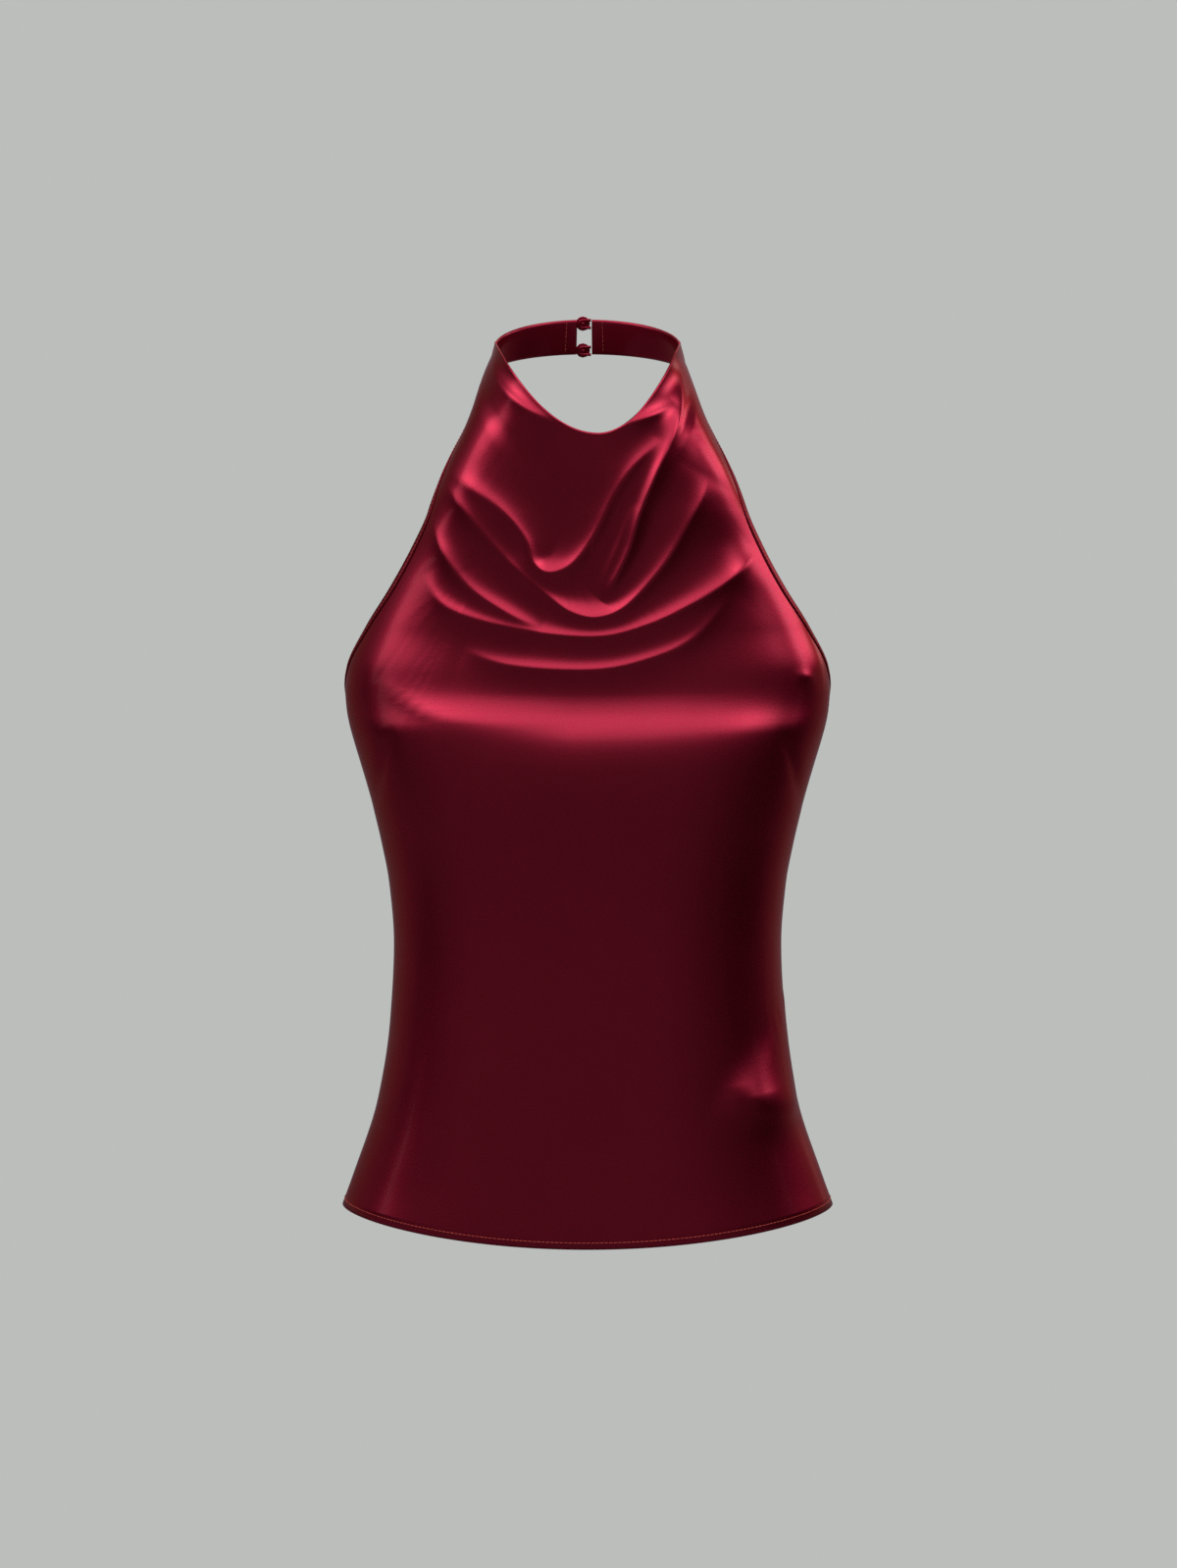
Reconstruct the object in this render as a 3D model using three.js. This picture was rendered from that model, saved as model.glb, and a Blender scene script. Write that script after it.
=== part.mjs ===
// Halter neck top in satin: a cowl front that hangs from a neck band, a low back, and an open upper back.
// Millimetres, +Z up. The front faces -Y and +X is on the right of someone who looks at the front.
// The origin is the centre of the neck ring, level with the front ends of the band, where a neck holds the top.
import * as THREE from "three";

// Cloth and edges. The gaps are those between two pieces that are sewn together: at the closure, down the side
// seams, along the bindings, and where the neck band meets the front.
const PANEL_WALL = 1.3;
const BAND_WALL = 2;
const SEAM_GAP = 0.35;
const SIDE_GAP = 0.55;
const BINDING_GAP = 0.45;
const NECK_SEAM_GAP = 0.9;
const BINDING_WIDTH = 5.2;
const BINDING_THICKNESS = 2.4;
const SATIN = { color: 0x6d0f24, roughness: 0.35, metalness: 0.5 };

// Heights of the pieces' corners
const UNDERARM_Z = -243;
const HEM_SIDE_Z = -570.7;
const HEM_FRONT_Z = -585;
const HEM_BACK_Z = -574;
const BAND_FRONT_HEIGHT = 20;
const SIDE_SEAM_DEGREES = 96;

// Level sections of the top: half is the half width, front and back the depths before and behind the
// side line, and power the roundness of the corners, where 2 is an ellipse.
const SECTIONS = [
  { z: 20, half: 60.5, front: 55, back: 60, power: 2 },
  { z: 0, half: 61.6, front: 57, back: 62, power: 2 },
  { z: -20, half: 66.6, front: 72, back: 66, power: 2.8 },
  { z: -40, half: 73, front: 84, back: 70, power: 3.6 },
  { z: -60, half: 82, front: 89, back: 74, power: 3.8 },
  { z: -83, half: 95.5, front: 88, back: 78, power: 3.5 },
  { z: -110, half: 110, front: 85, back: 82, power: 3.15 },
  { z: -135, half: 123, front: 82, back: 86, power: 3 },
  { z: -161, half: 136.6, front: 81, back: 90, power: 2.95 },
  { z: -187, half: 149, front: 83, back: 93, power: 2.85 },
  { z: -213, half: 158.6, front: 87, back: 95, power: 2.75 },
  { z: -228, half: 160.2, front: 90, back: 95, power: 2.65 },
  { z: -240, half: 159.4, front: 94.5, back: 94, power: 2.6 },
  { z: -250, half: 157.6, front: 99.7, back: 93, power: 2.6 },
  { z: -257, half: 155.8, front: 102.8, back: 92.5, power: 2.55 },
  { z: -266, half: 153.2, front: 105.3, back: 92, power: 2.5 },
  { z: -276, half: 150.2, front: 106.9, back: 91, power: 2.45 },
  { z: -290, half: 146.2, front: 107.6, back: 89.5, power: 2.4 },
  { z: -310, half: 141, front: 106.2, back: 86, power: 2.35 },
  { z: -330, half: 136.4, front: 103, back: 83, power: 2.3 },
  { z: -356, half: 131.6, front: 100, back: 80.5, power: 2.3 },
  { z: -395, half: 128.6, front: 98, back: 80, power: 2.3 },
  { z: -447, half: 131.3, front: 97.5, back: 87, power: 2.3 },
  { z: -499, half: 139.4, front: 98, back: 98, power: 2.25 },
  { z: -551, half: 156.3, front: 99.5, back: 111, power: 2.1 },
  { z: -580, half: 167, front: 101, back: 118, power: 2.05 },
];

// How far round from the front centre the front panel's cut edge lies, at each height.
const ARMHOLE = [
  { z: 0, degrees: 96 },
  { z: -20, degrees: 96 },
  { z: -36, degrees: 77 },
  { z: -60, degrees: 67 },
  { z: -83, degrees: 62 },
  { z: -110, degrees: 62 },
  { z: -135, degrees: 65 },
  { z: -161, degrees: 69 },
  { z: -187, degrees: 75 },
  { z: -203, degrees: 79 },
  { z: -219, degrees: 84 },
  { z: -232, degrees: 91 },
  { z: UNDERARM_Z, degrees: SIDE_SEAM_DEGREES },
];

// Rows of the front panel from the neck edge down. A row starts and ends at height edge and hangs to height
// middle, with a lower power the more pointed it hangs. low is how far across its lowest point lies, and hung
// the share of a cord that hangs between its two ends in its course: the rest lies round the body.
const FRONT_ROWS = [
  { row: 0, edge: 0, middle: -61.5, power: 2, hung: 1, low: 0.11 },
  { row: 0.1, edge: -20, middle: -98, power: 1.9, hung: 0.65, low: 0.07 },
  { row: 0.2, edge: -50, middle: -137, power: 1.9, hung: 0.3, low: 0.03 },
  { row: 0.3, edge: -96, middle: -165, power: 1.95, hung: 0.1, low: 0 },
  { row: 0.4, edge: -141, middle: -188, power: 2, hung: 0, low: 0 },
  { row: 0.5, edge: -190, middle: -212, power: 2.1, hung: 0, low: 0 },
  { row: 0.6, edge: UNDERARM_Z, middle: -246, power: 2.2, hung: 0, low: 0 },
  { row: 0.7, edge: -300, middle: -300, power: 2.2, hung: 0, low: 0 },
  { row: 1, edge: HEM_SIDE_Z, middle: HEM_FRONT_Z, power: 2, hung: 0, low: 0 },
];

// Hanging folds of the cowl, seen from the front. Each line runs along a fold's crest from left to right. At a
// point, rise is how far the crest stands out, flare the length over which the cloth comes out to it from
// above, and run the length over which the cloth falls back below it.
const CREST_RADIUS = 1.3;
const SWAGS = {
  neck: [
    { x: -62, z: -6, rise: 0, flare: 4, run: 20 },
    { x: -54, z: -28, rise: 4, flare: 4, run: 26 },
    { x: -38, z: -46, rise: 4, flare: 4, run: 26 },
    { x: -17, z: -57, rise: 0, flare: 4, run: 20 },
  ],
  inner: [
    { x: -92, z: -82, rise: 0, flare: 7, run: 12 },
    { x: -73, z: -96, rise: 3, flare: 7, run: 12 },
    { x: -53, z: -112, rise: 6, flare: 11, run: 12 },
    { x: -39, z: -130, rise: 7, flare: 13, run: 10 },
    { x: -34, z: -145, rise: 7, flare: 12, run: 8 },
    { x: -24, z: -151, rise: 7, flare: 12, run: 8 },
    { x: -9, z: -145, rise: 7, flare: 12, run: 10 },
    { x: 5, z: -126, rise: 7, flare: 12, run: 11 },
    { x: 16, z: -103, rise: 5.5, flare: 11, run: 10 },
    { x: 30, z: -82, rise: 4.5, flare: 9, run: 8 },
    { x: 46, z: -66, rise: 0, flare: 9, run: 8 },
  ],
  pleat: [
    { x: 8, z: -168, rise: 0, flare: 7, run: 5 },
    { x: 16, z: -158, rise: 5, flare: 7, run: 5 },
    { x: 26, z: -137, rise: 7, flare: 7, run: 7 },
    { x: 33, z: -113, rise: 8, flare: 7, run: 9 },
    { x: 42, z: -89, rise: 8, flare: 7, run: 12 },
    { x: 54, z: -56, rise: 6, flare: 7, run: 13 },
    { x: 61, z: -12, rise: 0, flare: 7, run: 12 },
  ],
  main: [
    { x: -95, z: -88, rise: 0, flare: 12, run: 14 },
    { x: -76, z: -112, rise: 4, flare: 11, run: 11 },
    { x: -49, z: -145, rise: 6, flare: 11, run: 9 },
    { x: -23, z: -168, rise: 6, flare: 11, run: 8 },
    { x: -8, z: -177, rise: 6, flare: 11, run: 8 },
    { x: 8, z: -179, rise: 6, flare: 11, run: 8 },
    { x: 26, z: -171, rise: 7, flare: 13, run: 9 },
    { x: 48, z: -146, rise: 8, flare: 15, run: 11 },
    { x: 64, z: -117, rise: 6, flare: 15, run: 13 },
    { x: 79, z: -91, rise: 0, flare: 15, run: 13 },
  ],
  left: [
    { x: -103, z: -110, rise: 0, flare: 10, run: 10 },
    { x: -91, z: -137, rise: 5, flare: 10, run: 10 },
    { x: -75, z: -160, rise: 5.5, flare: 10, run: 9 },
    { x: -50, z: -177, rise: 4, flare: 9, run: 9 },
    { x: -30, z: -186, rise: 0, flare: 8, run: 8 },
  ],
  low: [
    { x: -105, z: -152, rise: 0, flare: 8, run: 10 },
    { x: -89, z: -173, rise: 4, flare: 8, run: 10 },
    { x: -50, z: -186, rise: 5, flare: 9, run: 10 },
    { x: 4, z: -192, rise: 5.5, flare: 9.5, run: 10 },
    { x: 39, z: -184, rise: 6.5, flare: 11, run: 10 },
    { x: 71, z: -168, rise: 7, flare: 13, run: 11 },
    { x: 94, z: -152, rise: 4.5, flare: 14, run: 12 },
    { x: 110, z: -138, rise: 0, flare: 14, run: 12 },
  ],
  last: [
    { x: -79, z: -200, rise: 0, flare: 6, run: 9 },
    { x: -50, z: -210, rise: 3, flare: 7, run: 9 },
    { x: 3, z: -213, rise: 4, flare: 8, run: 9 },
    { x: 39, z: -206, rise: 4, flare: 8, run: 9 },
    { x: 68, z: -192, rise: 3.5, flare: 8, run: 9 },
    { x: 93, z: -162, rise: 0, flare: 8, run: 9 },
  ],
  swell: [
    { x: -136, z: -220, rise: 0, flare: 26, run: 14 },
    { x: -104, z: -240, rise: 4, flare: 26, run: 14 },
    { x: -60, z: -246, rise: 3, flare: 26, run: 14 },
    { x: -10, z: -246, rise: 0, flare: 26, run: 14 },
  ],
};

// Mesh density
const FRONT_COLUMNS = 50;
const FRONT_ROW_STEPS = [
  { from: 0, to: 0.56, count: 37 },
  { from: 0.56, to: 1, count: 15 },
];
const BACK_COLUMNS = 26;
const BACK_ROWS = 18;
const BAND_COLUMNS = 16;

const radians = THREE.MathUtils.degToRad;

// Reads a column of a table at a value of its key column, on a smooth curve through the rows that stays
// between each row and the next.
function read(table, key, at, column) {
  const sign = Math.sign(table[table.length - 1][key] - table[0][key]);
  const last = table.length - 1;
  let i = 0;
  while (i < last - 1 && sign * (at - table[i + 1][key]) > 0) i += 1;
  const chord = (k) => {
    const m = THREE.MathUtils.clamp(k, 0, last - 1);
    return (table[m + 1][column] - table[m][column]) / (table[m + 1][key] - table[m][key]);
  };
  const slope = (k) => {
    const [before, after] = [chord(k - 1), chord(k)];
    return before * after > 0 ? (2 * before * after) / (before + after) : 0;
  };
  const [a, b] = [table[i], table[i + 1]];
  const step = b[key] - a[key];
  const t = THREE.MathUtils.clamp((at - a[key]) / step, 0, 1);
  const [t2, t3] = [t * t, t * t * t];
  return (
    (2 * t3 - 3 * t2 + 1) * a[column] +
    (t3 - 2 * t2 + t) * step * slope(i) +
    (3 * t2 - 2 * t3) * b[column] +
    (t3 - t2) * step * slope(i + 1)
  );
}

// Across and forward of a rounded level curve in a direction from its middle.
function roundCurve(angle, half, depth, power) {
  const s = Math.sin(angle);
  const c = Math.cos(angle);
  const reach = (Math.abs(s / half) ** power + Math.abs(c / depth) ** power) ** (-1 / power);
  return { across: reach * s, forward: reach * c };
}

// A point of the smooth body that the cloth hangs on, with its level outward direction.
function bodyPoint(angle, z) {
  const [half, front, back, power] = ["half", "front", "back", "power"].map((column) =>
    read(SECTIONS, "z", z, column),
  );
  const depth = Math.cos(angle) > 0 ? front : back;
  const curve = roundCurve(angle, half, depth, power);
  const [x, y] = [curve.across, -curve.forward];
  const out = new THREE.Vector3(
    (Math.sign(x) * Math.abs(x / half) ** (power - 1)) / half,
    (Math.sign(y) * Math.abs(y / depth) ** (power - 1)) / depth,
    0,
  ).normalize();
  return { point: new THREE.Vector3(x, y, z), out };
}

// The nearest place of a fold's line to a point of the front view, with the line's columns there. below is
// the distance to the line, positive on its right-hand side, which is the low side of a line run left to right.
function nearest(line, columns, x, z) {
  let best = { distance: Infinity };
  for (let i = 0; i + 1 < line.length; i += 1) {
    const [a, b] = [line[i], line[i + 1]];
    const [dx, dz] = [b.x - a.x, b.z - a.z];
    const t = THREE.MathUtils.clamp(((x - a.x) * dx + (z - a.z) * dz) / (dx * dx + dz * dz), 0, 1);
    const [ox, oz] = [x - a.x - t * dx, z - a.z - t * dz];
    const distance = Math.hypot(ox, oz);
    if (distance < best.distance) {
      best = { distance, below: distance * Math.sign(ox * dz - oz * dx) };
      for (const column of columns) best[column] = a[column] + t * (b[column] - a[column]);
    }
  }
  return best;
}

// The same line with round bends: more points on a curve through the given ones, with no rise below nought.
function smoothed(line, pieces = 3) {
  const made = [];
  for (let k = 0; k < line.length - 1; k += 1) {
    const [a, b, c, d] = [k - 1, k, k + 1, k + 2].map((i) => line[Math.min(Math.max(i, 0), line.length - 1)]);
    for (let piece = 0; piece < pieces; piece += 1) {
      const t = piece / pieces;
      const row = {};
      for (const column of Object.keys(b)) {
        const start = (c[column] - a[column]) / 2;
        const end = (d[column] - b[column]) / 2;
        const across = c[column] - b[column];
        row[column] =
          b[column] + start * t + (3 * across - 2 * start - end) * t ** 2 + (start + end - 2 * across) * t ** 3;
      }
      row.rise = Math.max(row.rise, 0);
      made.push(row);
    }
  }
  return [...made, line[line.length - 1]];
}

const SWAG_LINES = Object.values(SWAGS).map((line) => smoothed(line));

// How far the cowl's folds stand out of the body at a point of the front view.
function foldHeight(x, z) {
  let height = 0;
  for (const line of SWAG_LINES) {
    const { below, rise, flare, run } = nearest(line, ["rise", "flare", "run"], x, z);
    const mean = (1 / flare + 1 / run) / 2;
    const lean = (1 / run - 1 / flare) / 2;
    height += rise * Math.exp(-mean * (Math.hypot(below, CREST_RADIUS) - CREST_RADIUS) - lean * below);
  }
  return height;
}

// Roundness of a hanging cord's course, and how close to the front panel's edges the folds fade out
const CORD_POWER = 3.2;
const EDGE_HOLD = 12;

// The outer face of the front panel, across from -1 at the left edge to 1 at the right one.
function frontPoint(across, row) {
  const [edge, middle, power, hung, low] = ["edge", "middle", "power", "hung", "low"].map((column) =>
    read(FRONT_ROWS, "row", row, column),
  );
  const limit = edge < UNDERARM_Z ? SIDE_SEAM_DEGREES : read(ARMHOLE, "z", edge, "degrees");
  const end = bodyPoint(radians(limit), edge).point;
  const level = bodyPoint(radians(limit * across), edge).point;
  const front = bodyPoint(0, middle).point;
  const hanging = roundCurve((across * Math.PI) / 2, end.x, end.y - front.y, CORD_POWER);
  const share = THREE.MathUtils.lerp(level.x, hanging.across, hung) / end.x;
  const fromLow = Math.abs(share - low) / (share > low ? 1 - low : 1 + low);
  const z = edge + (middle - edge) * (1 - fromLow ** power);
  const { point, out } = bodyPoint(radians(limit * across), z);
  point.lerp(new THREE.Vector3(hanging.across, end.y - hanging.forward, z), hung);
  const hold = 1 - Math.abs(across) ** EDGE_HOLD;
  return point.addScaledVector(out, hold * foldHeight(point.x, point.z));
}

// How far the back panel's upper edge dips at the centre, and its flutes
const BACK_SCOOP = { depth: 24, power: 2.2 };
const BACK_FLUTES = { count: 5, depth: 2.2, from: -330 };

// The outer face of the back panel, across from -1 at the right seam to 1 at the left one, with soft flutes
// that grow towards the hem.
function backPoint(across, down) {
  const top = UNDERARM_Z - BACK_SCOOP.depth * (1 - Math.abs(across) ** BACK_SCOOP.power);
  const hem = THREE.MathUtils.lerp(HEM_BACK_Z, HEM_SIDE_Z, across ** 2);
  const z = THREE.MathUtils.lerp(top, hem, down);
  const turn = Math.PI - radians(SIDE_SEAM_DEGREES) - SIDE_GAP / read(SECTIONS, "z", z, "half");
  const { point, out } = bodyPoint(Math.PI + turn * across, z);
  const fade = (1 - across ** 2) * THREE.MathUtils.smoothstep(-z, -BACK_FLUTES.from, -HEM_BACK_Z);
  return point.addScaledVector(out, BACK_FLUTES.depth * Math.cos(Math.PI * BACK_FLUTES.count * across) * fade);
}

// Outward directions of a grid of points that runs across to growing angles and then down.
function gridNormals(grid) {
  const rows = grid.length;
  const columns = grid[0].length;
  return grid.map((line, j) =>
    line.map((_, i) => {
      const across = new THREE.Vector3().subVectors(
        grid[j][Math.min(i + 1, columns - 1)],
        grid[j][Math.max(i - 1, 0)],
      );
      const down = new THREE.Vector3().subVectors(
        grid[Math.min(j + 1, rows - 1)][i],
        grid[Math.max(j - 1, 0)][i],
      );
      return down.cross(across).normalize();
    }),
  );
}

// A closed surface from points and triangles, turned so that its faces point outwards.
function geometryOf(points, triangles) {
  let volume = 0;
  for (let k = 0; k < triangles.length; k += 3) {
    const [a, b, c] = [0, 1, 2].map((n) => points[triangles[k + n]]);
    volume += new THREE.Vector3().crossVectors(b, c).dot(a);
  }
  if (volume < 0) triangles.reverse();
  const geometry = new THREE.BufferGeometry();
  geometry.setAttribute("position", new THREE.Float32BufferAttribute(points.flatMap((p) => p.toArray()), 3));
  geometry.setIndex(triangles);
  geometry.computeVertexNormals();
  return geometry;
}

// A closed wall whose outer face is the grid.
function wall(grid, thickness) {
  const rows = grid.length;
  const columns = grid[0].length;
  const normals = gridNormals(grid);
  const outer = grid.flat();
  const inner = outer.map((p, k) => p.clone().addScaledVector(normals.flat()[k], -thickness));
  const triangles = [];
  const quad = (a, b, c, d) => triangles.push(a, b, c, a, c, d);
  const inside = outer.length;
  for (let j = 0; j + 1 < rows; j += 1)
    for (let i = 0; i + 1 < columns; i += 1) {
      const a = j * columns + i;
      const [b, c, d] = [a + 1, a + columns + 1, a + columns];
      quad(a, d, c, b);
      quad(a + inside, b + inside, c + inside, d + inside);
    }
  const rim = [];
  for (let i = 0; i < columns - 1; i += 1) rim.push(i);
  for (let j = 0; j < rows - 1; j += 1) rim.push(j * columns + columns - 1);
  for (let i = columns - 1; i > 0; i -= 1) rim.push((rows - 1) * columns + i);
  for (let j = rows - 1; j > 0; j -= 1) rim.push(j * columns);
  rim.forEach((a, k) => {
    const b = rim[(k + 1) % rim.length];
    quad(a, b, b + inside, a + inside);
  });
  return geometryOf([...outer, ...inner], triangles);
}

// A closed bar with a ring of points round each station of its line.
function bar(rings) {
  const around = rings[0].length;
  const points = rings.flat();
  const triangles = [];
  for (let i = 0; i + 1 < rings.length; i += 1)
    for (let k = 0; k < around; k += 1) {
      const [a, b] = [i * around + k, i * around + ((k + 1) % around)];
      triangles.push(a, b, b + around, a, b + around, a + around);
    }
  const end = (rings.length - 1) * around;
  for (let k = 1; k + 1 < around; k += 1) {
    triangles.push(0, k + 1, k);
    triangles.push(end, end + k, end + k + 1);
  }
  return geometryOf(points, triangles);
}

const top = new THREE.Group();

function addPiece(name, geometry) {
  const mesh = new THREE.Mesh(geometry, new THREE.MeshStandardMaterial(SATIN));
  mesh.name = name;
  top.add(mesh);
  return mesh;
}

// Front panel
const frontRows = FRONT_ROW_STEPS.flatMap(({ from, to, count }) =>
  Array.from({ length: count }, (_, k) => from + ((to - from) * k) / count),
).concat(1);
const frontGrid = frontRows.map((row) =>
  Array.from({ length: FRONT_COLUMNS + 1 }, (_, i) => frontPoint((2 * i) / FRONT_COLUMNS - 1, row)),
);
addPiece("front", wall(frontGrid, PANEL_WALL));

// Back panel, from side seam to side seam
const backAcross = Array.from({ length: BACK_COLUMNS + 1 }, (_, i) => (2 * i) / BACK_COLUMNS - 1);
const backGrid = Array.from({ length: BACK_ROWS + 1 }, (_, j) =>
  backAcross.map((across) => backPoint(across, j / BACK_ROWS)),
);
addPiece("back", wall(backGrid, PANEL_WALL));

// A binding folded over an edge: it runs along the points, and each station has its outward normal, the
// direction away from the panel and the width there.
const BINDING_CORNER = 0.7;

function binding(stations) {
  const half = BINDING_THICKNESS / 2;
  const middle = -PANEL_WALL / 2;
  return bar(
    stations.map(({ point, normal, away, width }) =>
      [
        [BINDING_GAP, half - BINDING_CORNER],
        [BINDING_GAP + BINDING_CORNER, half],
        [width - BINDING_CORNER, half],
        [width, half - BINDING_CORNER],
        [width, BINDING_CORNER - half],
        [width - BINDING_CORNER, -half],
        [BINDING_GAP + BINDING_CORNER, -half],
        [BINDING_GAP, BINDING_CORNER - half],
      ].map(([along, up]) => point.clone().addScaledVector(away, along).addScaledVector(normal, up + middle)),
    ),
  );
}

// Stations at places along an edge, from a function that gives a point of the panel's face at a place and a
// distance inside the edge.
function edgeStations(places, pointAt) {
  const last = places.length - 1;
  return places.map((place, k) => {
    const point = pointAt(place, 0);
    const along = pointAt(places[Math.min(k + 1, last)], 0).sub(pointAt(places[Math.max(k - 1, 0)], 0));
    const inward = pointAt(place, 0.02).sub(point);
    const normal = new THREE.Vector3().crossVectors(along, inward).normalize();
    if (normal.dot(bodyPoint(Math.atan2(point.x, -point.y), point.z).out) < 0) normal.negate();
    const away = new THREE.Vector3().crossVectors(along, normal).normalize();
    if (away.dot(inward) > 0) away.negate();
    return { point, normal, away, width: BINDING_WIDTH };
  });
}

// An armhole binding starts narrow under the neck band and has its full width after this height.
const BINDING_START = { share: 0.4, height: 45 };
const ARMHOLE_ROWS = { from: 0.106, to: 0.597 };
const armholeRows = frontRows.filter((row) => row > ARMHOLE_ROWS.from && row < ARMHOLE_ROWS.to);
for (const [name, side] of [
  ["armhole_binding_left", -1],
  ["armhole_binding_right", 1],
]) {
  const stations = edgeStations(armholeRows, (row, inside) => frontPoint(side * (1 - inside), row));
  for (const station of stations) {
    const fallen = THREE.MathUtils.smoothstep(stations[0].point.z - station.point.z, 0, BINDING_START.height);
    station.width *= THREE.MathUtils.lerp(BINDING_START.share, 1, fallen);
  }
  addPiece(name, binding(stations));
}

addPiece("back_binding", binding(edgeStations(backAcross, backPoint)));

// Neck band: two halves from the front panel's upper corners to the closure at the centre back. Each row of
// the table is a level curve of the ring: its half width, its depth behind the side line, and its heights at
// the side line and at the centre back.
const BAND_EDGES = {
  upper: { half: 61.6, depth: 61, side: 0, back: 20.4 },
  lower: { half: 66.6, depth: 66, side: -BAND_FRONT_HEIGHT, back: -3.6 },
};
const BAND_ENDS = { left: -7.8, right: 3 };

function bandPoint(angle, down) {
  const mix = (column) => THREE.MathUtils.lerp(BAND_EDGES.upper[column], BAND_EDGES.lower[column], down);
  const y = -mix("depth") * Math.cos(angle);
  const z = mix("side") + ((mix("back") - mix("side")) * y) / mix("depth");
  return new THREE.Vector3(mix("half") * Math.sin(angle), y, z);
}

const bandStart = radians(SIDE_SEAM_DEGREES) + NECK_SEAM_GAP / BAND_EDGES.upper.half;
const bandEnd = (x) => Math.PI - Math.asin(x / BAND_EDGES.lower.half);
for (const [name, from, to] of [
  ["neck_band_right", bandStart, bandEnd(BAND_ENDS.right)],
  ["neck_band_left", bandEnd(BAND_ENDS.left), 2 * Math.PI - bandStart],
]) {
  const rows = [0, 0.5, 1].map((down) =>
    Array.from({ length: BAND_COLUMNS + 1 }, (_, i) => bandPoint(from + ((to - from) * i) / BAND_COLUMNS, down)),
  );
  addPiece(name, wall(rows, BAND_WALL));
}

// Closure: a covered button on each of two cloth loops. The frame of the closure stands on the band at the
// centre back, with its own Y pointing out of the band and its own Z up along it.
const CLOSURE_UPPER_Z = 17;
const CLOSURE_LOWER_Z = -0.8;
const SHANK_X = -3.2;
const BUTTON = { radius: 4.8, height: 3.6, rim: 1.1, shank: 1.1 };
const LOOP = { radius: 1.05, arm: 2.5 };

const closureTilt = Math.atan2(
  BAND_EDGES.lower.depth - BAND_EDGES.upper.depth,
  BAND_EDGES.upper.back - BAND_EDGES.lower.back,
);

function buttonGeometry() {
  const face = SEAM_GAP;
  const base = -BAND_WALL;
  const profile = [
    [0, base],
    [BUTTON.shank, base],
    [BUTTON.shank, face],
    [BUTTON.radius - 0.5, face],
    [BUTTON.radius, face + BUTTON.rim * 0.5],
    [BUTTON.radius, face + BUTTON.rim],
    [BUTTON.radius * 0.82, face + BUTTON.height * 0.72],
    [BUTTON.radius * 0.48, face + BUTTON.height * 0.94],
    [0, face + BUTTON.height],
  ].map(([x, y]) => new THREE.Vector2(x, y));
  return new THREE.LatheGeometry(profile, 24);
}

function loopGeometry(reach) {
  const turn = 12;
  const line = [[reach, LOOP.arm]];
  for (let k = 0; k <= turn; k += 1) {
    const angle = Math.PI / 2 + (Math.PI * k) / turn;
    line.push([LOOP.arm * Math.cos(angle), LOOP.arm * Math.sin(angle)]);
  }
  line.push([reach, -LOOP.arm]);
  const rings = line.map(([x, z], k) => {
    const before = line[Math.max(k - 1, 0)];
    const after = line[Math.min(k + 1, line.length - 1)];
    const along = new THREE.Vector3(after[0] - before[0], 0, after[1] - before[1]).normalize();
    const side = new THREE.Vector3(0, 1, 0).cross(along);
    return Array.from({ length: 8 }, (_, i) => {
      const angle = (2 * Math.PI * i) / 8;
      return new THREE.Vector3(x, 0, z)
        .addScaledVector(side, LOOP.radius * Math.cos(angle))
        .add(new THREE.Vector3(0, LOOP.radius * Math.sin(angle), 0));
    });
  });
  return bar(rings);
}

for (const [place, z] of [
  ["upper", CLOSURE_UPPER_Z],
  ["lower", CLOSURE_LOWER_Z],
]) {
  const down = (BAND_EDGES.upper.back - z) / (BAND_EDGES.upper.back - BAND_EDGES.lower.back);
  const depth = THREE.MathUtils.lerp(BAND_EDGES.upper.depth, BAND_EDGES.lower.depth, down);
  const frame = new THREE.Group();
  frame.position.set(SHANK_X, depth, z);
  frame.rotation.x = closureTilt;
  top.add(frame);
  const button = addPiece(`button_${place}`, buttonGeometry());
  frame.add(button);
  const loop = addPiece(`loop_${place}`, loopGeometry(BAND_ENDS.right - SHANK_X - 2 * SEAM_GAP));
  loop.position.y = -BAND_WALL / 2;
  frame.add(loop);
}

export default top;
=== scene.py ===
"""Halter neck top in dark red satin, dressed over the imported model. Tables are in millimetres."""
import math

import bmesh
import bpy
import numpy as np
from mathutils import Matrix, Vector


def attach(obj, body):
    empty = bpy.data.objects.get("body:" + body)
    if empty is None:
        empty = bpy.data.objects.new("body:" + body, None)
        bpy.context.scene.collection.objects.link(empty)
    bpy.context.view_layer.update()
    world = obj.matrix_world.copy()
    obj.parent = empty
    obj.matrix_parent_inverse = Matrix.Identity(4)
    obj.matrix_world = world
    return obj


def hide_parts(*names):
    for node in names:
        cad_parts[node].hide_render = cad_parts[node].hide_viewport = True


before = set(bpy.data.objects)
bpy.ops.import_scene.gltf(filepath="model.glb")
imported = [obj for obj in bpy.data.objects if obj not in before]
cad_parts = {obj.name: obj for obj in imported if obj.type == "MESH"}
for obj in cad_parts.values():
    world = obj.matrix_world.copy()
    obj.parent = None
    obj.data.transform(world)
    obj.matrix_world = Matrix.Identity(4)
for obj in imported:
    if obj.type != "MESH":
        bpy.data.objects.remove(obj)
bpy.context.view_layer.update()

MM = 0.001

# The camera's place and lens give the top the same place and size in the picture as in the photograph
CAMERA = {"side": 0.6, "distance": 2600, "height": -150, "tilt_degrees": 3.1, "lens": 90.06}

# Heights of the corners
UNDERARM_Z = -243
HEM_SIDE_Z = -570.7
HEM_FRONT_Z = -585
HEM_BACK_Z = -574
SIDE_SEAM_DEGREES = 96

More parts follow.
